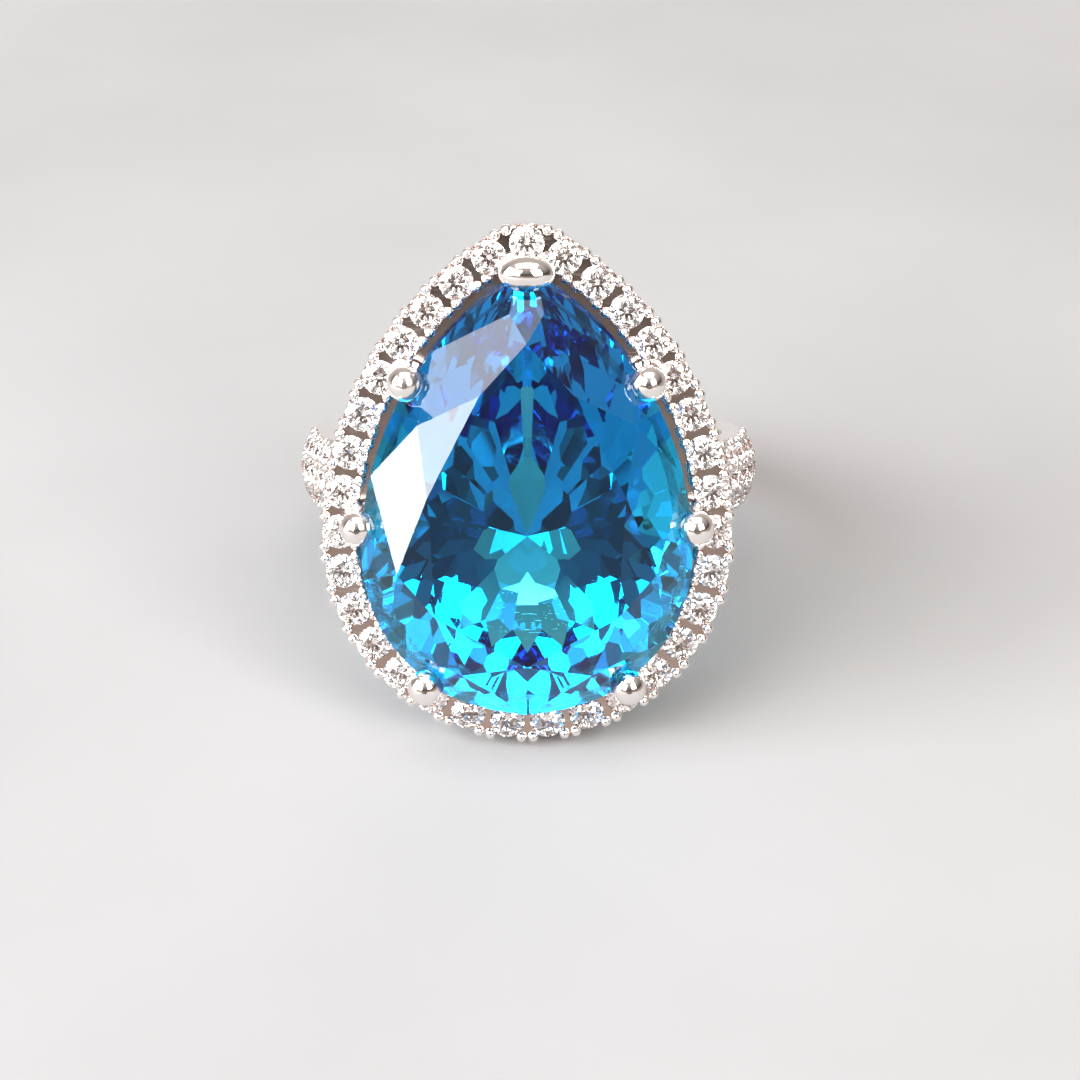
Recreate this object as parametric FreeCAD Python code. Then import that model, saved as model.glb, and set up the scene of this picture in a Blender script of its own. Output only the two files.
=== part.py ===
import FreeCAD, Part
import math
import os

# A pear-shaped cocktail ring: a large pear brilliant in a seven-prong basket, a halo of small
# diamonds around it, and a domed shank with three rows of diamonds on each shoulder.
# Lengths are millimetres and angles degrees.
#
# Everything is first built in the ring frame: origin at the centre of the finger hole, +X to the
# right, +Y along the finger towards the point of the pear, +Z out through the face of the stone.
# Every node is then laid down as the ring rests on a table: halo edge and back of the shank touch
# z = 0, the face looks towards -Y and leans back, and the origin is under the middle of the ring.

# Finger hole and shank
BORE_RADIUS = 8.0
SHANK_OUTER_RADIUS = 9.35
SHANK_EDGE_RADIUS = 8.75
SHOULDER_HALF_WIDTH = 1.6
BACK_HALF_WIDTH = 1.0
SHOULDER_HEIGHT = 6.0
SHANK_EDGE_ROUNDING = 0.14
SHANK_FLAT_RADIUS = 8.8

# Centre stone: a 16 x 12 pear, its culet on the widest line of the outline
STONE_LENGTH = 16.0
STONE_WIDTH = 12.0
STONE_TIP_RADIUS = 0.9
SMALLEST_TIP_RADIUS = 0.4
STONE_SHIFT = -0.9
CULET_HEIGHT = 8.4
GIRDLE_THICKNESS = 0.5
CROWN_HEIGHT = 1.55
TABLE_INSET = 2.17
GIRDLE_FACETS = 92
MAIN_AZIMUTHS = (90.0, 39.6, 14.5, -32.0, -90.0)
STAR_TIP_SHARES = (0.55, 0.55, 0.83, 0.83)

# Its pavilion has four rows of facets. For each row, from the girdle to the culet: its slope on
# the belly side, how far in from the girdle it ends, and where its facets lie between two mains.
PAVILION_SLOPES = (52.0, 48.0, 44.0, 38.0)
PAVILION_ENDS = (0.2, 0.41, 0.68, 1.0)
PAVILION_TURNS = ((0.0, 1 / 3, 2 / 3), (1 / 6, 1 / 2, 5 / 6), (0.0, 1 / 3, 2 / 3), (1 / 2,))

# Halo of small diamonds
HALO_SHIFT = 0.3
HALO_GAP = 0.2
HALO_BAND = 1.3
HALO_DROP = 0.55
HALO_DEPTH = 1.5
HALO_ROUNDING = 0.12
HALO_COUNT = 33
HALO_DIAMOND_DIAMETER = 1.25
SCALLOP_RADIUS = 0.4
SCALLOP_DROP = 0.12
SCALLOP_START = 0.4
BEAD_RADIUS = 0.2
BEAD_SPACING = 0.44
BEAD_INSET = 0.08

# Basket: two rails and seven prongs
SEAT_RAIL_INNER = -1.3
SEAT_RAIL_DROP = 0.9
SEAT_RAIL_DEPTH = 0.75
BASE_RAIL_OUTER = -2.0
BASE_RAIL_INNER = -2.9
BASE_RAIL_TOP = 9.2
FINGER_CLEARANCE = 0.3
PRONG_RADIUS = 0.45
PRONG_BALL_RADIUS = 0.66
PRONG_BALL_OFFSET = 0.15
PRONG_BALL_RISE = 0.25
PRONG_BEND_DROP = 1.45
PRONG_FOOT_DEPTH = 0.3
PRONG_WALL_OVERLAP = 0.2
TIP_PRONG_WALL_OVERLAP = -0.08
PRONG_GAPS = {"upper": 4.5, "middle": 8.5, "lower": 13.5}
TIP_PRONG_HALF_SPREAD = 0.44
TIP_CLAW_HALF_WIDTH = 1.0
TIP_CLAW_RADIUS = 0.64

# Shoulder diamonds
SHOULDER_DIAMOND_DIAMETER = 0.92
SHOULDER_ROW_STEP = 1.0
SHOULDER_STONES = 9
SHOULDER_FIRST_ANGLE = 33.0
SHOULDER_STONE_STEP = 1.0
SHOULDER_BEAD_RADIUS = 0.17
SHOULDER_BEAD_ROW_SHARE = 0.98

# Round brilliants, as shares of their diameter
TABLE_SHARE = 0.56
CROWN_SHARE = 0.15
GIRDLE_SHARE = 0.04
PAVILION_SHARE = 0.43
STAR_SHARE = 0.5
LOWER_HALF_SHARE = 0.76
SEAT_DEPTH_SHARE = 0.52
SEAT_HOLE_SHARE = 0.45
BRILLIANT_SIDES = 24

BEAD_EMBED = 0.02
WELD = 1e-8
BIG = 60.0


# ---------------------------------------------------------------- pear outline

def pear_constants():
    """Distance of the wing arcs' centres from the middle line, and the radius of those arcs."""
    half_width = STONE_WIDTH / 2
    tip = STONE_LENGTH - half_width - STONE_TIP_RADIUS
    flank = half_width - STONE_TIP_RADIUS
    wing_centre = (tip ** 2 - flank ** 2) / (2 * flank)
    return wing_centre, half_width + wing_centre


WING_CENTRE, WING_RADIUS = pear_constants()


def tip_arc(offset):
    """Radius and centre height of the arc at the tip, and the azimuth where the wing takes over."""
    radius = max(STONE_TIP_RADIUS + offset, SMALLEST_TIP_RADIUS)
    height = math.sqrt((WING_RADIUS + offset - radius) ** 2 - WING_CENTRE ** 2)
    return radius, height, math.degrees(math.atan2(height, WING_CENTRE))


def outline_point(azimuth, offset):
    """Point of the outline, moved outwards by offset, where the outward normal is at azimuth."""
    side = 1.0 if -90.0 <= azimuth <= 90.0 else -1.0
    steep = azimuth if side > 0 else 180.0 - azimuth
    angle = math.radians(steep)
    tip_radius, tip_height, wing_azimuth = tip_arc(offset)
    if steep > wing_azimuth:
        centre_x, centre_y, radius = 0.0, tip_height, tip_radius
    elif steep >= 0.0:
        centre_x, centre_y, radius = -WING_CENTRE, 0.0, WING_RADIUS + offset
    else:
        centre_x, centre_y, radius = 0.0, 0.0, STONE_WIDTH / 2 + offset
    return side * (centre_x + radius * math.cos(angle)), centre_y + radius * math.sin(angle)


def quarter_lengths(offset):
    """Lengths of the tip, wing and belly arcs on one side of the outline."""
    tip_radius, _, wing_azimuth = tip_arc(offset)
    tip = math.radians(90.0 - wing_azimuth) * tip_radius
    wing = math.radians(wing_azimuth) * (WING_RADIUS + offset)
    belly = math.pi / 2 * (STONE_WIDTH / 2 + offset)
    return tip, wing, belly


def outline_length(offset):
    """Length of the outline moved outwards by offset."""
    return 2 * sum(quarter_lengths(offset))


def azimuth_at(distance, offset):
    """Azimuth of the normal after walking the given distance clockwise from the tip."""
    tip, wing, belly = quarter_lengths(offset)
    tip_radius, _, wing_azimuth = tip_arc(offset)
    distance = distance % (2 * (tip + wing + belly))
    if distance > tip + wing + belly:
        return 180.0 - azimuth_at(2 * (tip + wing + belly) - distance, offset)
    if distance < tip:
        return 90.0 - math.degrees(distance / tip_radius)
    if distance < tip + wing:
        return wing_azimuth - math.degrees((distance - tip) / (WING_RADIUS + offset))
    return -math.degrees((distance - tip - wing) / (STONE_WIDTH / 2 + offset))


def outline_wire(offset, shift, height):
    """Closed wire of the outline, moved outwards by offset and along Y by shift."""
    wing = tip_arc(offset)[2]
    stops = (90.0, wing, 0.0, -90.0, 180.0, 180.0 - wing, 90.0)
    tilt = (90.0 + wing) / 2
    middles = (tilt, wing / 2, -45.0, 225.0, 180.0 - wing / 2, 180.0 - tilt)
    edges = []
    for start, middle, end in zip(stops, middles, stops[1:]):
        points = []
        for azimuth in (start, middle, end):
            x, y = outline_point(azimuth, offset)
            points.append(FreeCAD.Vector(x, y + shift, height))
        edges.append(Part.Arc(*points).toShape())
    return Part.Wire(edges)


def outline_plate(offset, shift, bottom, top):
    """Solid plate inside the moved outline."""
    face = Part.Face(outline_wire(offset, shift, bottom))
    return face.extrude(FreeCAD.Vector(0, 0, top - bottom))


# ---------------------------------------------------------------- faceted stones

def cross(a, b):
    return (
        a[1] * b[2] - a[2] * b[1],
        a[2] * b[0] - a[0] * b[2],
        a[0] * b[1] - a[1] * b[0],
    )


def dot(a, b):
    return a[0] * b[0] + a[1] * b[1] + a[2] * b[2]


def minus(a, b):
    return (a[0] - b[0], a[1] - b[1], a[2] - b[2])


def plane_from_slope(point, azimuth, slope):
    """Plane through point whose outward normal points to azimuth and rises by slope."""
    turn = math.radians(azimuth)
    rise = math.radians(slope)
    normal = (
        math.cos(turn) * math.cos(rise),
        math.sin(turn) * math.cos(rise),
        math.sin(rise),
    )
    return normal, dot(normal, point)


def plane_through(first, second, third, inside):
    """Plane through three points with its normal pointing away from the inside point."""
    normal = cross(minus(second, first), minus(third, first))
    size = math.sqrt(dot(normal, normal))
    normal = tuple(value / size for value in normal)
    level = dot(normal, first)
    if dot(normal, inside) > level:
        normal = tuple(-value for value in normal)
        level = -level
    return normal, level


def meet(one, two, three):
    """Common point of three planes."""
    (n1, d1), (n2, d2), (n3, d3) = one, two, three
    c23, c31, c12 = cross(n2, n3), cross(n3, n1), cross(n1, n2)
    scale = dot(n1, c23)
    return tuple((d1 * c23[k] + d2 * c31[k] + d3 * c12[k]) / scale for k in range(3))


def clip_polygon(polygon, normal, level):
    """Part of a polygon below a plane, and the points lying on the plane."""
    kept = []
    rim = []
    heights = [dot(normal, point) - level for point in polygon]
    for index, point in enumerate(polygon):
        height = heights[index]
        following = heights[(index + 1) % len(polygon)]
        if height <= WELD:
            kept.append(point)
            if height >= -WELD:
                rim.append(point)
        if (height > WELD and following < -WELD) or (height < -WELD and following > WELD):
            share = height / (height - following)
            after = polygon[(index + 1) % len(polygon)]
            crossing = tuple(point[k] + share * (after[k] - point[k]) for k in range(3))
            kept.append(crossing)
            rim.append(crossing)
    return kept, rim


def without_doubles(points):
    """Points in order with repeated neighbours removed."""
    clean = []
    for point in points:
        if not clean or max(abs(a - b) for a, b in zip(point, clean[-1])) > 10 * WELD:
            clean.append(point)
    while len(clean) > 1 and max(abs(a - b) for a, b in zip(clean[0], clean[-1])) <= 10 * WELD:
        clean.pop()
    return clean


def cap_polygon(rim, normal):
    """Convex polygon around the points a plane has cut, ordered about their middle."""
    middle = tuple(sum(point[k] for point in rim) / len(rim) for k in range(3))
    helper = (1.0, 0.0, 0.0) if abs(normal[0]) < 0.8 else (0.0, 1.0, 0.0)
    side = cross(normal, helper)
    up = cross(normal, side)

    def turn(point):
        arm = minus(point, middle)
        return math.atan2(dot(arm, up), dot(arm, side))

    return without_doubles(sorted(rim, key=turn))


def cut_stone(planes):
    """Convex solid below all the planes."""
    corners = {}
    for sx in (-1, 1):
        for sy in (-1, 1):
            for sz in (-1, 1):
                corners[sx, sy, sz] = (sx * BIG, sy * BIG, sz * BIG)
    loops = []
    for axis in range(3):
        for sign in (-1, 1):
            ring = []
            for first, second in ((-1, -1), (1, -1), (1, 1), (-1, 1)):
                key = [first, second]
                key.insert(axis, sign)
                ring.append(corners[tuple(key)])
            loops.append(ring)
    for normal, level in planes:
        trimmed = []
        rim = []
        for loop in loops:
            kept, touched = clip_polygon(loop, normal, level)
            kept = without_doubles(kept)
            if len(kept) > 2:
                trimmed.append(kept)
                rim.extend(touched)
        loops = trimmed
        if rim:
            cap = cap_polygon(rim, normal)
            if len(cap) > 2 and not any(same_plane(loop, normal, level) for loop in loops):
                loops.append(cap)
    return solid_from_loops(loops)


def same_plane(loop, normal, level):
    """True when every corner of the loop already lies on the plane."""
    return all(abs(dot(normal, point) - level) <= WELD for point in loop)


def solid_from_loops(loops):
    """Solid bounded by flat polygons that share welded corners."""
    welded = []

    def weld(point):
        for known in welded:
            if max(abs(point[k] - known[k]) for k in range(3)) < 20 * WELD:
                return known
        welded.append(point)
        return point

    faces = []
    for loop in loops:
        ring = without_doubles([weld(point) for point in loop])
        if len(ring) > 2:
            vectors = [FreeCAD.Vector(*point) for point in ring]
            faces.append(Part.Face(Part.makePolygon(vectors + vectors[:1])))
    return Part.Solid(Part.makeShell(faces))


def crown_planes(touch, star_shares, table_height, table_corner, inside):
    """Kites, stars and upper halves of a brilliant crown.

    touch lists for each kite its azimuth, the girdle point below it and the girdle point halfway
    to the next kite. star_shares gives how high up the crown each star facet starts.
    """
    kites = []
    corners = []
    for azimuth, point, _ in touch:
        corner = table_corner(azimuth, point)
        run = math.hypot(point[0] - corner[0], point[1] - corner[1])
        slope = math.degrees(math.atan2(run, table_height - point[2]))
        kites.append(plane_from_slope(point, azimuth, slope))
        corners.append(corner)
    planes = list(kites)
    count = len(touch)
    for index in range(count):
        after = (index + 1) % count
        base = touch[index][1][2]
        star_height = base + star_shares[index] * (table_height - base)
        level = ((0.0, 0.0, 1.0), star_height)
        star_tip = meet(kites[index], kites[after], level)
        middle = touch[index][2]
        planes.append(plane_through(corners[index], corners[after], star_tip, inside))
        planes.append(plane_through(star_tip, touch[index][1], middle, inside))
        planes.append(plane_through(star_tip, touch[after][1], middle, inside))
    return planes


def pavilion_planes(touch, culet, inside):
    """Mains that meet in the culet and the lower halves between them."""
    mains = []
    for azimuth, point, _ in touch:
        turn = math.radians(azimuth)
        reach = (point[0] - culet[0]) * math.cos(turn) + (point[1] - culet[1]) * math.sin(turn)
        slope = -math.degrees(math.atan2(reach, point[2] - culet[2]))
        mains.append(plane_from_slope(culet, azimuth, slope))
    planes = list(mains)
    count = len(touch)
    for index in range(count):
        after = (index + 1) % count
        base = touch[index][1][2]
        level = ((0.0, 0.0, 1.0), base - LOWER_HALF_SHARE * (base - culet[2]))
        low_tip = meet(mains[index], mains[after], level)
        middle = touch[index][2]
        planes.append(plane_through(low_tip, touch[index][1], middle, inside))
        planes.append(plane_through(low_tip, touch[after][1], middle, inside))
    return planes


def azimuths_between(share):
    """Azimuths a share of the way from each main facet of the pear to the next, clockwise."""
    left = [-180.0 - azimuth for azimuth in reversed(MAIN_AZIMUTHS[1:-1])]
    mains = list(MAIN_AZIMUTHS) + left
    following = mains[1:] + [mains[0] - 360.0]
    turns = [start + share * (end - start) for start, end in zip(mains, following)]
    return [(turn + 90.0) % 360.0 - 90.0 for turn in turns]


def stone_touch_points(height):
    """Azimuth, girdle point and halfway girdle point of each main facet of the pear."""
    rows = []
    for azimuth, halfway in zip(azimuths_between(0.0), azimuths_between(0.5)):
        points = []
        for turn in (azimuth, halfway):
            x, y = outline_point(turn, 0.0)
            points.append((x, y + STONE_SHIFT, height))
        rows.append((azimuth, points[0], points[1]))
    return rows


def pavilion_rows():
    """For each row of the pear's pavilion: where it starts, how deep, its fall and its azimuths.

    The start is a share of the way from the girdle to the culet, and the fall is how much
    deeper the row would get on that whole way.
    """
    rows = []
    start = 0.0
    depth = 0.0
    for slope, end, shares in zip(PAVILION_SLOPES, PAVILION_ENDS, PAVILION_TURNS):
        fall = STONE_WIDTH / 2 * math.tan(math.radians(slope))
        azimuths = [azimuth for share in shares for azimuth in azimuths_between(share)]
        rows.append((start, depth, fall, azimuths))
        depth += (end - start) * fall
        start = end
    return rows, depth


PAVILION_ROWS, PAVILION_DEPTH = pavilion_rows()
GIRDLE_BOTTOM = CULET_HEIGHT + PAVILION_DEPTH
GIRDLE_TOP = GIRDLE_BOTTOM + GIRDLE_THICKNESS


def stone_pavilion_planes():
    """Facets of the pear's pavilion, each row flatter than the one outside it."""
    planes = []
    for start, depth, fall, azimuths in PAVILION_ROWS:
        for azimuth in azimuths:
            x, y = outline_point(azimuth, 0.0)
            turn = math.radians(azimuth)
            reach = x * math.cos(turn) + y * math.sin(turn)
            steepness = -math.degrees(math.atan2(reach, fall))
            point = ((1 - start) * x, (1 - start) * y + STONE_SHIFT, GIRDLE_BOTTOM - depth)
            planes.append(plane_from_slope(point, azimuth, steepness))
    return planes


def centre_stone():
    """The pear brilliant."""
    table_height = GIRDLE_TOP + CROWN_HEIGHT
    inside = (0.0, STONE_SHIFT, (GIRDLE_BOTTOM + GIRDLE_TOP) / 2)

    def table_corner(azimuth, point):
        turn = math.radians(azimuth)
        return (
            point[0] - TABLE_INSET * math.cos(turn),
            point[1] - TABLE_INSET * math.sin(turn),
            table_height,
        )

    planes = []
    length = outline_length(0.0)
    for index in range(GIRDLE_FACETS):
        azimuth = azimuth_at((index + 0.5) * length / GIRDLE_FACETS, 0.0)
        x, y = outline_point(azimuth, 0.0)
        planes.append(plane_from_slope((x, y + STONE_SHIFT, 0.0), azimuth, 0.0))
    planes.append(((0.0, 0.0, 1.0), table_height))
    shares = STAR_TIP_SHARES + tuple(reversed(STAR_TIP_SHARES))
    touch = stone_touch_points(GIRDLE_TOP)
    planes += crown_planes(touch, shares, table_height, table_corner, inside)
    planes += stone_pavilion_planes()
    return cut_stone(planes)


def round_brilliant(diameter):
    """Round brilliant with its girdle's top edge at z = 0 and its table facing +Z."""
    radius = diameter / 2
    table_height = CROWN_SHARE * diameter
    girdle_bottom = -GIRDLE_SHARE * diameter
    culet = (0.0, 0.0, girdle_bottom - PAVILION_SHARE * diameter)
    inside = (0.0, 0.0, girdle_bottom / 2)

    def rim_point(azimuth, height):
        turn = math.radians(azimuth)
        return (radius * math.cos(turn), radius * math.sin(turn), height)

    def touch_points(height):
        rows = []
        for azimuth in range(0, 360, 45):
            rows.append((azimuth, rim_point(azimuth, height), rim_point(azimuth + 22.5, height)))
        return rows

    def table_corner(azimuth, point):
        x, y, _ = rim_point(azimuth, table_height)
        return (x * TABLE_SHARE, y * TABLE_SHARE, table_height)

    planes = []
    for index in range(BRILLIANT_SIDES):
        azimuth = index * 360.0 / BRILLIANT_SIDES
        planes.append(plane_from_slope(rim_point(azimuth, 0.0), azimuth, 0.0))
    planes.append(((0.0, 0.0, 1.0), table_height))
    shares = (STAR_SHARE,) * 8
    planes += crown_planes(touch_points(0.0), shares, table_height, table_corner, inside)
    planes += pavilion_planes(touch_points(girdle_bottom), culet, inside)
    return cut_stone(planes)


# ---------------------------------------------------------------- halo

HALO_TOP = GIRDLE_BOTTOM - HALO_DROP
HALO_LINE = HALO_GAP + HALO_BAND / 2
HALO_STEP = outline_length(HALO_LINE) / HALO_COUNT


def halo_frame_point(steps, offset, height):
    """Point and outward azimuth on the halo, counted in diamonds from the tip."""
    azimuth = azimuth_at(steps * HALO_STEP, HALO_LINE)
    x, y = outline_point(azimuth, offset)
    return FreeCAD.Vector(x, y + STONE_SHIFT + HALO_SHIFT, height), azimuth


def seat_cutter(diameter):
    """Room for a round brilliant set with its girdle at z = 0, and a drilled hole below it."""
    radius = diameter / 2 / math.cos(math.pi / BRILLIANT_SIDES)
    girdle = GIRDLE_SHARE * diameter
    depth = SEAT_DEPTH_SHARE * diameter
    hole = diameter * SEAT_HOLE_SHARE / 2
    well = Part.makeCylinder(radius, girdle + diameter, FreeCAD.Vector(0, 0, -girdle))
    cone_height = depth * (radius - hole) / radius
    cone_base = FreeCAD.Vector(0, 0, -girdle - cone_height)
    cone = Part.makeCone(hole, radius, cone_height, cone_base)
    drill_depth = HALO_DEPTH + diameter
    drill = Part.makeCylinder(hole, drill_depth, FreeCAD.Vector(0, 0, -drill_depth))
    return well.fuse([cone, drill])


def halo_diamond_places():
    """Placement of each halo diamond, turned so that its facets follow the halo."""
    places = []
    for index in range(HALO_COUNT):
        point, azimuth = halo_frame_point(index, HALO_LINE, HALO_TOP)
        turn = FreeCAD.Rotation(FreeCAD.Vector(0, 0, 1), azimuth)
        places.append(FreeCAD.Placement(point, turn))
    return places


def halo_beads():
    """Pairs of beads in the gaps between diamonds, on both rims of the halo."""
    beads = []
    inner = HALO_GAP + BEAD_INSET
    outer = HALO_GAP + HALO_BAND - BEAD_INSET
    for index in range(HALO_COUNT):
        for offset in (inner, outer):
            middle, azimuth = halo_frame_point(index + 0.5, offset, HALO_TOP + BEAD_EMBED)
            turn = math.radians(azimuth)
            along = FreeCAD.Vector(-math.sin(turn), math.cos(turn), 0)
            for side in (-0.5, 0.5):
                centre = middle + along * side * BEAD_SPACING
                beads.append(Part.makeSphere(BEAD_RADIUS, centre))
    return beads


def halo_seats():
    """Seat cutter and rim scallop for every halo diamond."""
    cutters = []
    start = FreeCAD.Vector(SCALLOP_START, 0, -SCALLOP_DROP)
    outwards = FreeCAD.Vector(1, 0, 0)
    for place in halo_diamond_places():
        seat = seat_cutter(HALO_DIAMOND_DIAMETER)
        scallop = Part.makeCylinder(SCALLOP_RADIUS, HALO_BAND, start, outwards)
        for cutter in (seat, scallop):
            cutter.Placement = place
            cutters.append(cutter)
    return cutters


def halo_frame(prongs):
    """Band of the halo with its drilled seats, scalloped rim, beads and notches for the prongs."""
    shift = STONE_SHIFT + HALO_SHIFT
    bottom = HALO_TOP - HALO_DEPTH
    band = outline_plate(HALO_GAP + HALO_BAND, shift, bottom, HALO_TOP)
    band = band.cut(outline_plate(HALO_GAP, shift, bottom - 1, HALO_TOP + 1))
    rims = [edge for edge in band.Edges if edge.BoundBox.ZMin > HALO_TOP - HALO_ROUNDING]
    band = band.makeFillet(HALO_ROUNDING, rims)
    band = band.fuse(halo_beads())
    return largest_solid(band.cut(halo_seats() + prongs))


def halo_diamonds():
    """Small round brilliants of the halo, numbered clockwise from the tip."""
    model = round_brilliant(HALO_DIAMOND_DIAMETER)
    stones = {}
    for index, place in enumerate(halo_diamond_places()):
        stone = model.copy()
        stone.Placement = place
        stones[f"halo_diamond_{index + 1:02d}"] = stone
    return stones


# ---------------------------------------------------------------- basket

def largest_solid(shape):
    """Main body of a cut, without loose crumbs."""
    return max(shape.Solids, key=lambda solid: solid.Volume)


def rod(start, end, radius):
    """Round rod between two points."""
    axis = end - start
    return Part.makeCylinder(radius, axis.Length, start, axis)


def wire_through(points, radius):
    """Round wire along straight stretches with ball joints at the bends."""
    pieces = [rod(start, end, radius) for start, end in zip(points, points[1:])]
    joints = [Part.makeSphere(radius, point) for point in points[1:-1]]
    return pieces[0].fuse(pieces[1:] + joints)


def prong_points(steps, wall_overlap):
    """Foot, bend, neck and ball centre of a prong standing against the inside of the halo."""
    rail_line = (BASE_RAIL_OUTER + BASE_RAIL_INNER) / 2
    wall = HALO_GAP - PRONG_RADIUS + wall_overlap
    bend, azimuth = halo_frame_point(steps, wall, GIRDLE_BOTTOM - PRONG_BEND_DROP)
    neck, _ = halo_frame_point(steps, wall, HALO_TOP)
    foot_x, foot_y = outline_point(azimuth, rail_line)
    foot_height = BASE_RAIL_TOP - PRONG_FOOT_DEPTH
    foot = FreeCAD.Vector(foot_x, foot_y + STONE_SHIFT, foot_height)
    ball_x, ball_y = outline_point(azimuth, PRONG_BALL_OFFSET)
    ball = FreeCAD.Vector(ball_x, ball_y + STONE_SHIFT, GIRDLE_TOP + PRONG_BALL_RISE)
    return foot, bend, neck, ball


def ball_prong(steps):
    """Prong wire that ends in a ball over the edge of the stone."""
    foot, bend, neck, ball = prong_points(steps, PRONG_WALL_OVERLAP)
    wire = wire_through([foot, bend, neck, ball], PRONG_RADIUS)
    return wire.fuse(Part.makeSphere(PRONG_BALL_RADIUS, ball))


def tip_claw(centre):
    """Ball stretched into a rounded bar that lies across the point of the pear."""
    stretch = FreeCAD.Matrix()
    stretch.scale(TIP_CLAW_HALF_WIDTH, TIP_CLAW_RADIUS, TIP_CLAW_RADIUS)
    claw = Part.makeSphere(1.0).transformGeometry(stretch)
    claw.translate(centre)
    return claw


def tip_prong():
    """Broad claw over the point of the pear, on two wires side by side."""
    foot, bend, neck, ball = prong_points(0, TIP_PRONG_WALL_OVERLAP)
    spread = FreeCAD.Vector(TIP_PRONG_HALF_SPREAD, 0, 0)
    pieces = [tip_claw(ball)]
    for side in (-1, 1):
        points = [foot + spread * side, bend + spread * side, neck + spread * side]
        pieces.append(wire_through(points + [ball + spread * side], PRONG_RADIUS))
    for start, end in zip((foot, bend, neck), (bend, neck, ball)):
        pieces.append(web_between(start, end, spread, PRONG_RADIUS))
    return pieces[0].fuse(pieces[1:])


def web_between(start, end, spread, radius):
    """Flat slab that fills the space between two parallel wires."""
    across = FreeCAD.Vector(spread).normalize()
    axis = end - start
    normal = axis.cross(across).normalize()
    corners = []
    for side, lift in ((-1, -1), (1, -1), (1, 1), (-1, 1)):
        corners.append(start + spread * side + normal * lift * radius)
    outline = Part.makePolygon(corners + corners[:1])
    return Part.Face(outline).extrude(axis)


def all_prongs():
    """The seven prongs by name, before the stone is cut out of them."""
    prongs = {"tip_prong": tip_prong()}
    for name, steps in PRONG_GAPS.items():
        prongs[f"{name}_right_prong"] = ball_prong(steps)
        prongs[f"{name}_left_prong"] = ball_prong(HALO_COUNT - steps)
    return prongs


def seat_rail(stone, prongs):
    """Upper rail inside the halo, hollowed to carry the stone just below its girdle."""
    top = GIRDLE_BOTTOM - SEAT_RAIL_DROP
    bottom = top - SEAT_RAIL_DEPTH
    rail = outline_plate(HALO_GAP, STONE_SHIFT + HALO_SHIFT, bottom, top)
    opening = outline_plate(SEAT_RAIL_INNER, STONE_SHIFT, bottom - 1, top + 1)
    return largest_solid(rail.cut([opening, stone] + prongs))


def bore_tube(radius, length):
    """Cylinder along the finger, centred on the origin."""
    start = FreeCAD.Vector(0, -length / 2, 0)
    return Part.makeCylinder(radius, length, start, FreeCAD.Vector(0, 1, 0))


def base_rail(prongs):
    """Lower rail, hollowed underneath to clear the finger."""
    rail = outline_plate(BASE_RAIL_OUTER, STONE_SHIFT, 0, BASE_RAIL_TOP)
    opening = outline_plate(BASE_RAIL_INNER, STONE_SHIFT, -1, BASE_RAIL_TOP + 1)
    saddle = bore_tube(BORE_RADIUS + FINGER_CLEARANCE, BIG)
    return largest_solid(rail.cut([opening, saddle] + prongs))


# ---------------------------------------------------------------- shank

def dome_constants():
    """Radius of the circle the domed profile turns about and radius of its arc."""
    rise = SHANK_OUTER_RADIUS - SHANK_EDGE_RADIUS
    arc = (SHOULDER_HALF_WIDTH ** 2 + rise ** 2) / (2 * rise)
    return SHANK_OUTER_RADIUS - arc, arc


DOME_RADIUS, DOME_ARC = dome_constants()


def dome_point(y):
    """Point of the domed profile at the given distance from the middle of the band."""
    return FreeCAD.Vector(DOME_RADIUS + math.sqrt(DOME_ARC ** 2 - y ** 2), y, 0)


def half_width_at(height):
    """Half of the band's width, which narrows evenly from the shoulders to the back."""
    share = (height + SHANK_OUTER_RADIUS) / (SHOULDER_HEIGHT + SHANK_OUTER_RADIUS)
    return BACK_HALF_WIDTH + share * (SHOULDER_HALF_WIDTH - BACK_HALF_WIDTH)


def shank_blank():
    """Domed hoop that narrows towards its back, with a small flat there and softened edges."""
    reach = SHANK_OUTER_RADIUS + 1
    half = half_width_at(reach)
    inner_low = FreeCAD.Vector(BORE_RADIUS, -half, 0)
    inner_high = FreeCAD.Vector(BORE_RADIUS, half, 0)
    dome = Part.Arc(dome_point(-half), dome_point(0), dome_point(half)).toShape()
    edges = [
        Part.makeLine(inner_high, inner_low),
        Part.makeLine(inner_low, dome_point(-half)),
        dome,
        Part.makeLine(dome_point(half), inner_high),
    ]
    hoop = Part.Face(Part.Wire(edges)).revolve(FreeCAD.Vector(0, 0, 0), FreeCAD.Vector(0, 1, 0))
    corners = []
    for height, side in ((-SHANK_FLAT_RADIUS, -1), (-SHANK_FLAT_RADIUS, 1), (reach, 1), (reach, -1)):
        corners.append(FreeCAD.Vector(-reach, side * half_width_at(height), height))
    wedge = Part.Face(Part.makePolygon(corners + corners[:1]))
    hoop = largest_solid(hoop.common(wedge.extrude(FreeCAD.Vector(2 * reach, 0, 0))))
    sides = [face for face in hoop.Faces if abs(face.normalAt(0, 0).y) > 0.9]
    rims = [edge for face in sides for edge in face.Edges]
    return hoop.makeFillet(SHANK_EDGE_ROUNDING, rims)


def shoulder_place(side, angle, row):
    """Placement on the domed surface; angle is measured from the top of the ring."""
    turn = math.radians(angle)
    lean = row * SHOULDER_ROW_STEP / DOME_ARC
    radial = FreeCAD.Vector(side * math.sin(turn), 0, math.cos(turn))
    normal = radial * math.cos(lean) + FreeCAD.Vector(0, math.sin(lean), 0)
    point = radial * DOME_RADIUS + normal * DOME_ARC
    return FreeCAD.Placement(point, FreeCAD.Rotation(FreeCAD.Vector(0, 0, 1), normal))


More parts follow.
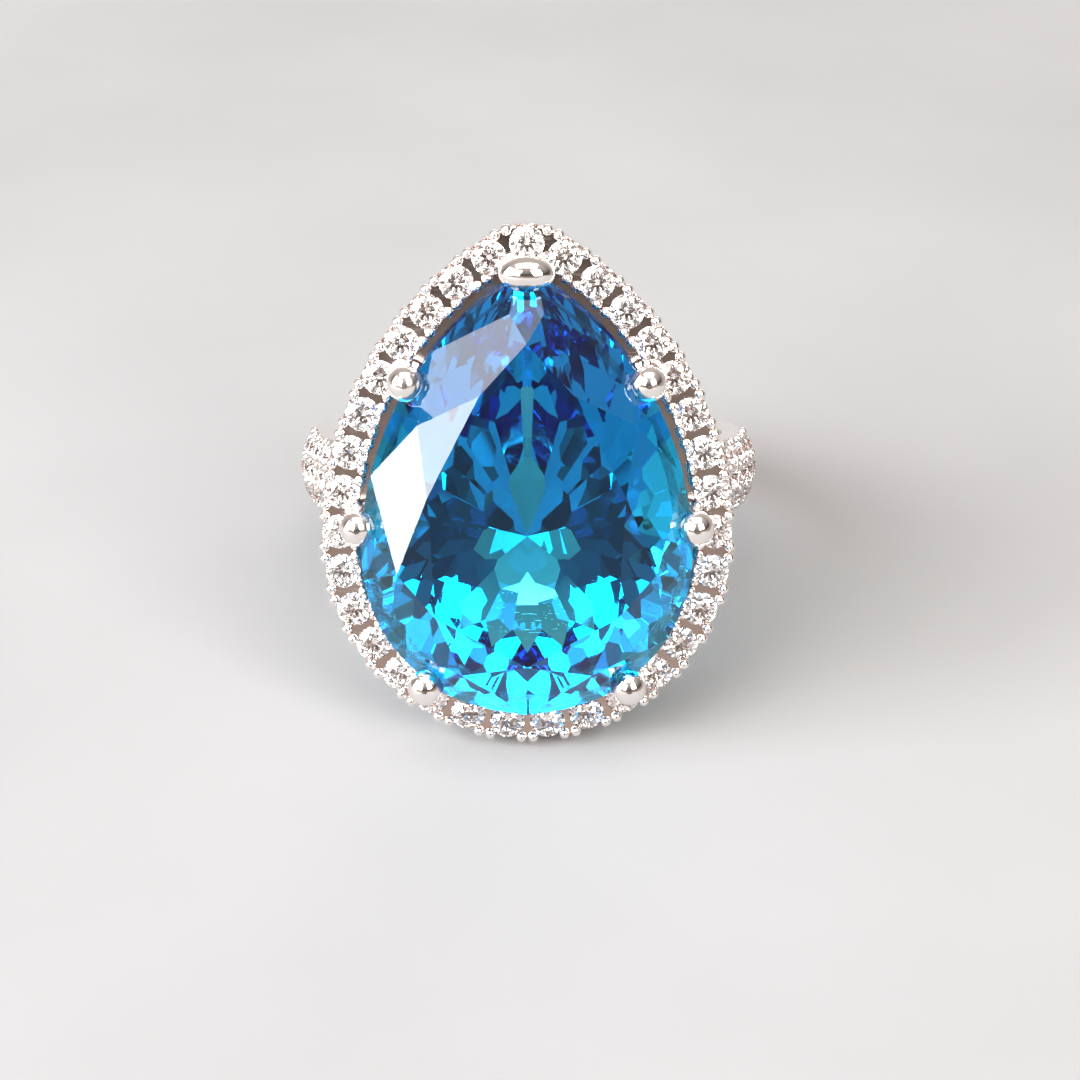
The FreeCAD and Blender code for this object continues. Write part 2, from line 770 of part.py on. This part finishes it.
def shoulder_angles(count, start):
    """Angles of a line of stones or beads down a shoulder."""
    step = math.degrees(SHOULDER_STONE_STEP / SHANK_OUTER_RADIUS)
    return [SHOULDER_FIRST_ANGLE + (start + index) * step for index in range(count)]


def shoulder_beads():
    """Four lines of beads down each shoulder, between and beside the rows of diamonds."""
    beads = []
    for side in (-1, 1):
        for row in (-1.5, -0.5, 0.5, 1.5):
            for angle in shoulder_angles(SHOULDER_STONES + 1, -0.5):
                place = shoulder_place(side, angle, row * SHOULDER_BEAD_ROW_SHARE)
                beads.append(Part.makeSphere(SHOULDER_BEAD_RADIUS, place.Base))
    return beads


def shoulder_seats():
    """Seat cutters for all shoulder diamonds."""
    cutters = []
    for side in (-1, 1):
        for row in (-1, 0, 1):
            for angle in shoulder_angles(SHOULDER_STONES, 0):
                cutter = seat_cutter(SHOULDER_DIAMOND_DIAMETER)
                cutter.Placement = shoulder_place(side, angle, row)
                cutters.append(cutter)
    return cutters


def shank():
    """Hoop with its ends fitted to the base rail and its shoulders drilled for diamonds."""
    hoop = shank_blank()
    opening = outline_plate(BASE_RAIL_OUTER, STONE_SHIFT, 0, BIG)
    hoop = largest_solid(hoop.cut(opening))
    hoop = hoop.fuse(shoulder_beads())
    hoop = hoop.cut(shoulder_seats())
    return largest_solid(hoop)


def shoulder_diamonds():
    """Rows of diamonds on the shoulders; each row is a group of separate stones."""
    model = round_brilliant(SHOULDER_DIAMOND_DIAMETER)
    rows = {}
    for side, side_name in ((-1, "left"), (1, "right")):
        for row, row_name in ((1, "upper"), (0, "middle"), (-1, "lower")):
            stones = []
            for angle in shoulder_angles(SHOULDER_STONES, 0):
                stone = model.copy()
                stone.Placement = shoulder_place(side, angle, row)
                stones.append(stone)
            rows[f"{side_name}_shoulder_{row_name}_diamonds"] = Part.makeCompound(stones)
    return rows


# ---------------------------------------------------------------- assembly

def ring_nodes():
    """Every node of the ring by name, in the ring frame."""
    stone = centre_stone()
    prongs = all_prongs()
    whole_prongs = list(prongs.values())
    nodes = {"centre_stone": stone}
    for name, prong in prongs.items():
        nodes[name] = largest_solid(prong.cut(stone))
    nodes["seat_rail"] = seat_rail(stone, whole_prongs)
    nodes["base_rail"] = base_rail(whole_prongs)
    nodes["halo_frame"] = halo_frame(whole_prongs)
    nodes.update(halo_diamonds())
    nodes["shank"] = shank()
    nodes.update(shoulder_diamonds())
    return nodes


def resting_tilt():
    """Angle the face leans back when the halo's edge and the rounded back of the shank rest."""
    halo_y = STONE_SHIFT + HALO_SHIFT - STONE_WIDTH / 2 - HALO_GAP - HALO_BAND
    halo_z = HALO_TOP - HALO_DEPTH
    shank_z = SHANK_EDGE_ROUNDING - SHANK_FLAT_RADIUS
    shank_y = SHANK_EDGE_ROUNDING - half_width_at(shank_z)
    lean = math.atan2(shank_y - halo_y, halo_z - shank_z)
    reach = math.hypot(shank_y - halo_y, halo_z - shank_z)
    return math.degrees(lean - math.asin(SHANK_EDGE_ROUNDING / reach))


def lay_down(nodes):
    """Turn the ring onto the table and put the origin under the middle of it."""
    turn = FreeCAD.Rotation(FreeCAD.Vector(1, 0, 0), 90.0 - resting_tilt())
    for shape in nodes.values():
        shape.Placement = FreeCAD.Placement(FreeCAD.Vector(0, 0, 0), turn).multiply(shape.Placement)
    box = Part.makeCompound(list(nodes.values())).optimalBoundingBox(False, False)
    shift = FreeCAD.Vector(-box.Center.x, -box.Center.y, -box.ZMin)
    for shape in nodes.values():
        shape.Placement = FreeCAD.Placement(shift, FreeCAD.Rotation()).multiply(shape.Placement)


def main():
    nodes = ring_nodes()
    lay_down(nodes)
    os.makedirs("parts", exist_ok=True)
    for name, shape in nodes.items():
        shape.exportStep(f"parts/{name}.step")


main()
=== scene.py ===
"""Looks of the pear-cut cocktail ring: polished white gold, one blue topaz and many small diamonds.

Everything is in metres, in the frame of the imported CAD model. The ring lies on a pale table,
leaning back on the edge of its halo and the back of its shank.
"""
import math

import bpy
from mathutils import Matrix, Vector


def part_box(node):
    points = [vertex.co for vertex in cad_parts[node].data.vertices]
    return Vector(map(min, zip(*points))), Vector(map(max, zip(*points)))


MM = 0.001

# Camera, measured from the middle of the halo
CAMERA_ELEVATION = 30.0
CAMERA_DISTANCE = 92 * MM
VIEW_WIDTH = 39.6 * MM
AIM_RIGHT = 0.47 * MM
AIM_BELOW = 2.05 * MM
SENSOR_WIDTH = 36.0
NEAREST_SEEN = 1 * MM
FARTHEST_SEEN = 10.0

# White gold: its colour where it is bright and where it is dull, and the warm painted shade laid on
# it where it is tucked away
GOLD_BRIGHT = (0.93, 0.88, 0.845, 1.0)
GOLD_DULL = (0.87, 0.82, 0.785, 1.0)
# Painted shade: the darker, warmer colour given to the metal in its nooks and between parts
GOLD_PAINTED_SHADE = (0.68, 0.5, 0.42, 1.0)
TARNISH_SIZE = 2.2 * MM
PAINTED_SHADE_REACH = 0.5 * MM
PAINTED_SHADE_OPENNESS = (0.15, 0.75)
PAINTED_SHADE_SAMPLES = 4

# Its polish, from smooth to hazy, and its faint cast ripple
GOLD_ROUGHNESS = (0.07, 0.17)
HAZE_SIZE = 1.4 * MM
RIPPLE_SIZE = 0.67 * MM
RIPPLE_HEIGHT = 0.02 * MM
RIPPLE_STRENGTH = 0.1

# Its scratches: what they add to the roughness, and how deep they are as a share of the ripple
SCRATCH_ROUGHNESS = 0.08
SCRATCH_DEPTH = 0.25

# Topaz: each colour of light fades, per metre, by the density times what the tint lacks of 1
TOPAZ_TINT = (0.03, 0.83, 0.935, 1.0)
TOPAZ_DENSITY = 500.0
TOPAZ_IOR = 1.62
TOPAZ_ROUGHEST = 0.012
TOPAZ_SMUDGE_SIZE = 3.8 * MM
TOPAZ_CLOUD_SIZE = 5.5 * MM
TOPAZ_COOL = (0.97, 0.99, 1.0, 1.0)
TOPAZ_WARM = (1.0, 1.0, 0.99, 1.0)

# Diamond, between a warm and a cool stone
DIAMOND_IOR = 2.42
DIAMOND_WARM = (1.0, 0.92, 0.88, 1.0)
DIAMOND_COOL = (0.965, 0.975, 0.99, 1.0)
DIAMOND_ROUGHEST = 0.05
DIAMOND_SMUDGE_SIZE = 0.67 * MM
DIAMOND_LEAN_SIZE = 2.4 * MM

# Hairlines, on every finish: length as a multiple of their width, and softness of their edges
SCRATCH_STRETCH = 14.0
SCRATCH_SOFTNESS = 0.04

# Polishing lines on both kinds of stone
POLISH_LINE_HEIGHT = 0.01 * MM

# Stage
TABLE_HALF_SIZE = 2.0
TABLE_TONE = 0.31
TABLE_TONE_SPREAD = 0.02
TABLE_ROUGHNESS = 0.75
TABLE_SHEEN = 0.25
TABLE_CLOUD_SIZE = 33 * MM
TABLE_GRAIN_SIZE = 0.25 * MM
TABLE_GRAIN_HEIGHT = 0.05 * MM
LIGHT_DISTANCE = 0.5
ROOM_DARK = (0.07, 0.057, 0.05, 1.0)
ROOM_GLOW = (0.46, 0.35, 0.3, 1.0)
ROOM_PALE = (0.62, 0.56, 0.53, 1.0)

# Where the room changes, on directions of length 1: how high it turns pale, how far back it turns
# pale, and how low its glow starts and ends
PALE_HEIGHT = (0.3, 0.9)
PALE_BACK = (0.0, 0.7)
GLOW_HEIGHT = (0.05, 0.25)

# Soft boxes: name, azimuth, elevation, width, height, brightness and colour
WHITE = (1.0, 1.0, 1.0)
SOFT_BOXES = (
    ("left_window", -70.0, 21.0, 0.22, 0.25, 18.0, (0.93, 0.95, 1.0)),
    ("left_skylight", -70.0, 43.0, 0.26, 0.13, 7.0, (0.84, 0.88, 1.0)),
    ("front_left_box", -38.0, 32.0, 0.26, 0.3, 12.0, WHITE),
    ("front_right_box", 35.0, 35.0, 0.23, 0.28, 11.0, (1.0, 0.97, 0.94)),
    ("ceiling_box", 0.0, 82.0, 0.5, 0.34, 2.5, (1.0, 0.95, 0.92)),
    ("back_strip", 178.0, 14.0, 0.3, 0.06, 6.0, WHITE),
)


# ---------------------------------------------------------------- node helpers

# Numbers of the Mix node's sockets when it mixes colours
MIX_SHARE = 0
MIX_FIRST = 6
MIX_SECOND = 7
MIX_RESULT = 2


def new_material(name):
    """Empty node material and its tree."""
    material = bpy.data.materials.new(name)
    material.use_nodes = True
    material.node_tree.nodes.clear()
    return material, material.node_tree


def add_node(tree, kind, inputs=None, **settings):
    """Node of a kind; inputs maps socket names or numbers to values or to sockets that feed them."""
    node = tree.nodes.new(kind)
    for name, value in settings.items():
        setattr(node, name, value)
    for key, value in (inputs or {}).items():
        socket = node.inputs[key]
        if isinstance(value, bpy.types.NodeSocket):
            tree.links.new(value, socket)
        else:
            socket.default_value = value
    return node


def noise(tree, coordinates, size, detail=2.0):
    """Noise with features of a size in metres; most of its values lie between 0.3 and 0.7."""
    inputs = {"Vector": coordinates, "Scale": 1.0 / size, "Detail": detail}
    return add_node(tree, "ShaderNodeTexNoise", inputs).outputs["Fac"]


def remap(tree, value, low, high, out_low, out_high):
    """Value carried from one range to another and held inside it."""
    inputs = {
        "Value": value,
        "From Min": low,
        "From Max": high,
        "To Min": out_low,
        "To Max": out_high,
    }
    return add_node(tree, "ShaderNodeMapRange", inputs).outputs["Result"]


def rising(tree, value, low, high):
    """0 below one value, 1 above another, and a straight ramp between them."""
    return remap(tree, value, low, high, 0.0, 1.0)


def object_coordinates(tree):
    return add_node(tree, "ShaderNodeTexCoord").outputs["Object"]


def blend(tree, share, first, second):
    """Colour between two colours."""
    inputs = {MIX_SHARE: share, MIX_FIRST: first, MIX_SECOND: second}
    return add_node(tree, "ShaderNodeMix", inputs, data_type="RGBA").outputs[MIX_RESULT]


def larger(tree, first, second):
    return add_node(tree, "ShaderNodeMath", {0: first, 1: second}, operation="MAXIMUM").outputs[0]


def added(tree, first, second):
    return add_node(tree, "ShaderNodeMath", {0: first, 1: second}, operation="ADD").outputs[0]


def bumpy(tree, height, depth, strength):
    """Normal of a surface whose heights, between 0 and 1, are a depth in metres apart."""
    inputs = {"Height": height, "Distance": depth, "Strength": strength}
    return add_node(tree, "ShaderNodeBump", inputs).outputs["Normal"]


def hairlines(tree, place, turn, length, share):
    """Fine straight scratches that all run one way: 1 on a scratch and 0 beside it."""
    stretch = add_node(tree, "ShaderNodeMapping", {
        "Vector": place,
        "Rotation": tuple(math.radians(angle) for angle in turn),
        "Scale": (1.0, SCRATCH_STRETCH, SCRATCH_STRETCH),
    })
    lines = noise(tree, stretch.outputs["Vector"], length, detail=1.0)
    return rising(tree, lines, 1.0 - share, 1.0 - share + SCRATCH_SOFTNESS)


# ---------------------------------------------------------------- materials

def white_gold():
    """Polished metal with hairline scratches, a cast ripple and painted shade that makes its corners
    darker and warmer.
    """
    material, tree = new_material("polished_white_gold")
    place = object_coordinates(tree)
    scratches = larger(
        tree,
        hairlines(tree, place, turn=(20, 0, 35), length=0.67 * MM, share=0.34),
        hairlines(tree, place, turn=(0, 50, -40), length=0.83 * MM, share=0.32),
    )
    haze = remap(tree, noise(tree, place, HAZE_SIZE, detail=3.0), 0.35, 0.7, *GOLD_ROUGHNESS)
    wear = remap(tree, scratches, 0.0, 1.0, 0.0, SCRATCH_ROUGHNESS)
    ripple = noise(tree, place, RIPPLE_SIZE, detail=3.0)
    grooves = remap(tree, scratches, 0.0, 1.0, 0.0, -SCRATCH_DEPTH)
    normal = bumpy(tree, added(tree, ripple, grooves), RIPPLE_HEIGHT, RIPPLE_STRENGTH)
    tarnish = rising(tree, noise(tree, place, TARNISH_SIZE, detail=4.0), 0.35, 0.7)
    clean = blend(tree, tarnish, GOLD_BRIGHT, GOLD_DULL)
    # Painted shade: ambient occlusion darkens and warms the metal in its nooks and between parts,
    # where shade falls
    reach = {"Distance": PAINTED_SHADE_REACH}
    shade_occlusion = add_node(tree, "ShaderNodeAmbientOcclusion", reach, samples=PAINTED_SHADE_SAMPLES)
    unshaded_share = rising(tree, shade_occlusion.outputs["AO"], *PAINTED_SHADE_OPENNESS)
    metal = add_node(tree, "ShaderNodeBsdfPrincipled", {
        "Base Color": blend(tree, unshaded_share, GOLD_PAINTED_SHADE, clean),
        "Metallic": 1.0,
        "Roughness": added(tree, haze, wear),
        "Normal": normal,
    })
    add_node(tree, "ShaderNodeOutputMaterial", {"Surface": metal.outputs[0]})
    return material


def clear_stone(tree, ior, colour, roughness, normal):
    """Shader of a polished clear stone."""
    inputs = {
        "Base Color": colour,
        "Roughness": roughness,
        "IOR": ior,
        "Transmission Weight": 1.0,
        "Normal": normal,
    }
    return add_node(tree, "ShaderNodeBsdfPrincipled", inputs).outputs[0]


def blue_topaz():
    """Clear polished stone, coloured by its depth, with a breath of haze and polishing lines."""
    material, tree = new_material("blue_topaz")
    place = object_coordinates(tree)
    lines = hairlines(tree, place, turn=(0, 25, 60), length=0.83 * MM, share=0.3)
    smears = noise(tree, place, TOPAZ_SMUDGE_SIZE, detail=4.0)
    haze = remap(tree, smears, 0.5, 0.75, 0.0, TOPAZ_ROUGHEST)
    cloud = rising(tree, noise(tree, place, TOPAZ_CLOUD_SIZE), 0.3, 0.7)
    colour = blend(tree, cloud, TOPAZ_COOL, TOPAZ_WARM)
    normal = bumpy(tree, lines, POLISH_LINE_HEIGHT, strength=0.02)
    glass = clear_stone(tree, TOPAZ_IOR, colour, haze, normal)
    body = add_node(tree, "ShaderNodeVolumeAbsorption", {
        "Color": TOPAZ_TINT,
        "Density": TOPAZ_DENSITY,
    })
    add_node(tree, "ShaderNodeOutputMaterial", {"Surface": glass, "Volume": body.outputs[0]})
    return material


def diamond():
    """Clear stones that lean from warm to cool from one to the next."""
    material, tree = new_material("diamond")
    place = object_coordinates(tree)
    coolness = rising(tree, noise(tree, place, DIAMOND_LEAN_SIZE, detail=1.0), 0.35, 0.65)
    colour = blend(tree, coolness, DIAMOND_WARM, DIAMOND_COOL)
    smears = noise(tree, place, DIAMOND_SMUDGE_SIZE, detail=3.0)
    haze = remap(tree, smears, 0.45, 0.75, 0.0, DIAMOND_ROUGHEST)
    lines = hairlines(tree, place, turn=(30, 0, 15), length=0.4 * MM, share=0.3)
    normal = bumpy(tree, lines, POLISH_LINE_HEIGHT, strength=0.03)
    glass = clear_stone(tree, DIAMOND_IOR, colour, haze, normal)
    add_node(tree, "ShaderNodeOutputMaterial", {"Surface": glass})
    return material


def pale_table():
    """Smooth pale board with soft clouds and a fine grain."""
    material, tree = new_material("pale_table")
    place = object_coordinates(tree)
    darkest = TABLE_TONE - TABLE_TONE_SPREAD
    palest = TABLE_TONE + TABLE_TONE_SPREAD
    cloud = noise(tree, place, TABLE_CLOUD_SIZE, detail=4.0)
    tone = remap(tree, cloud, 0.3, 0.7, darkest, palest)
    colour = add_node(tree, "ShaderNodeCombineColor", {"Red": tone, "Green": tone, "Blue": tone})
    grain = noise(tree, place, TABLE_GRAIN_SIZE)
    surface = add_node(tree, "ShaderNodeBsdfPrincipled", {
        "Base Color": colour.outputs[0],
        "Roughness": TABLE_ROUGHNESS,
        "Specular IOR Level": TABLE_SHEEN,
        "Normal": bumpy(tree, grain, TABLE_GRAIN_HEIGHT, strength=0.05),
    })
    add_node(tree, "ShaderNodeOutputMaterial", {"Surface": surface.outputs[0]})
    return material


def dress_nodes(nodes):
    """Give every CAD node the material of the thing it is."""
    finishes = {"white_gold": white_gold(), "blue_stone": blue_topaz(), "diamond": diamond()}
    for node in nodes.values():
        for material_slot in node.material_slots:
            material_slot.material = finishes[material_slot.material.name]


# ---------------------------------------------------------------- stage, light and camera

def make_table():
    corners = [(-1, -1), (1, -1), (1, 1), (-1, 1)]
    mesh = bpy.data.meshes.new("table")
    vertices = [(x * TABLE_HALF_SIZE, y * TABLE_HALF_SIZE, 0.0) for x, y in corners]
    mesh.from_pydata(vertices, [], [(0, 1, 2, 3)])
    table = bpy.data.objects.new("table", mesh)
    bpy.context.scene.collection.objects.link(table)
    mesh.materials.append(pale_table())


def direction(azimuth, elevation):
    """Unit vector; azimuth 0 points at the viewer's side and 90 to the right."""
    turn = math.radians(azimuth)
    rise = math.radians(elevation)
    return Vector((
        math.sin(turn) * math.cos(rise),
        -math.cos(turn) * math.cos(rise),
        math.sin(rise),
    ))


def soft_box(name, azimuth, elevation, width, height, brightness, colour):
    """Rectangular studio light aimed at the ring; brightness is what a mirror would show."""
    lamp = bpy.data.lights.new(name, "AREA")
    lamp.shape = "RECTANGLE"
    lamp.size = width
    lamp.size_y = height
    lamp.energy = brightness * math.pi * width * height
    lamp.color = colour
    box = bpy.data.objects.new(name, lamp)
    bpy.context.scene.collection.objects.link(box)
    back = direction(azimuth, elevation)
    box.location = back * LIGHT_DISTANCE
    box.rotation_mode = "QUATERNION"
    box.rotation_quaternion = back.to_track_quat("Z", "Y")
    box.visible_camera = False


def light_studio():
    """Warm room, dark where the viewer stands and pale behind and above, with soft boxes in it.

    Whoever looks past the table sees the pale wall on every side.
    """
    world = bpy.data.worlds.new("studio")
    bpy.context.scene.world = world
    world.use_nodes = True
    tree = world.node_tree
    tree.nodes.clear()
    sky = add_node(tree, "ShaderNodeTexCoord").outputs["Generated"]
    sides = add_node(tree, "ShaderNodeSeparateXYZ", {0: sky}).outputs
    overhead = rising(tree, sides["Z"], *PALE_HEIGHT)
    behind = rising(tree, sides["Y"], *PALE_BACK)
    front = blend(tree, rising(tree, sides["Z"], *GLOW_HEIGHT), ROOM_GLOW, ROOM_DARK)
    room = blend(tree, larger(tree, overhead, behind), front, ROOM_PALE)
    seen = add_node(tree, "ShaderNodeLightPath").outputs["Is Camera Ray"]
    background = add_node(tree, "ShaderNodeBackground", {"Color": blend(tree, seen, room, ROOM_PALE)})
    add_node(tree, "ShaderNodeOutputWorld", {"Surface": background.outputs[0]})
    for name, azimuth, elevation, width, height, brightness, colour in SOFT_BOXES:
        soft_box(name, azimuth, elevation, width, height, brightness, colour)


def place_camera():
    low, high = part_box("halo_frame")
    middle = (low + high) / 2
    back = direction(0.0, CAMERA_ELEVATION)
    right = Vector((1.0, 0.0, 0.0))
    up = back.cross(right)
    camera_data = bpy.data.cameras.new("camera")
    camera_data.sensor_width = SENSOR_WIDTH
    camera_data.lens = SENSOR_WIDTH * CAMERA_DISTANCE / VIEW_WIDTH
    camera_data.clip_start = NEAREST_SEEN
    camera_data.clip_end = FARTHEST_SEEN
    camera = bpy.data.objects.new("camera", camera_data)
    bpy.context.scene.collection.objects.link(camera)
    camera.location = middle + back * CAMERA_DISTANCE + right * AIM_RIGHT - up * AIM_BELOW
    camera.rotation_mode = "QUATERNION"
    camera.rotation_quaternion = back.to_track_quat("Z", "Y")
    bpy.context.scene.camera = camera


def set_light_paths():
    """Enough bounces for light to find its way through the stones."""
    cycles = bpy.context.scene.cycles
    cycles.max_bounces = 32
    cycles.transmission_bounces = 32
    cycles.glossy_bounces = 16
    cycles.diffuse_bounces = 4
    cycles.transparent_max_bounces = 16
    cycles.sample_clamp_indirect = 10.0
    cycles.blur_glossy = 0.5
    cycles.use_denoising = True


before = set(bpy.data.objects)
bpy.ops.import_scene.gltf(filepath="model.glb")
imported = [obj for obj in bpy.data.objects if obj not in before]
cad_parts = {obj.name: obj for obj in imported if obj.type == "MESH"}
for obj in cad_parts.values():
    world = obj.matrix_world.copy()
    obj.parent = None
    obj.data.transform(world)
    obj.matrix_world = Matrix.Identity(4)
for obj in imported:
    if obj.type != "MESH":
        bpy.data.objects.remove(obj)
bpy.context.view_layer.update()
dress_nodes(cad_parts)
make_table()
light_studio()
place_camera()
set_light_paths()
bpy.context.scene.view_settings.view_transform = "Standard"
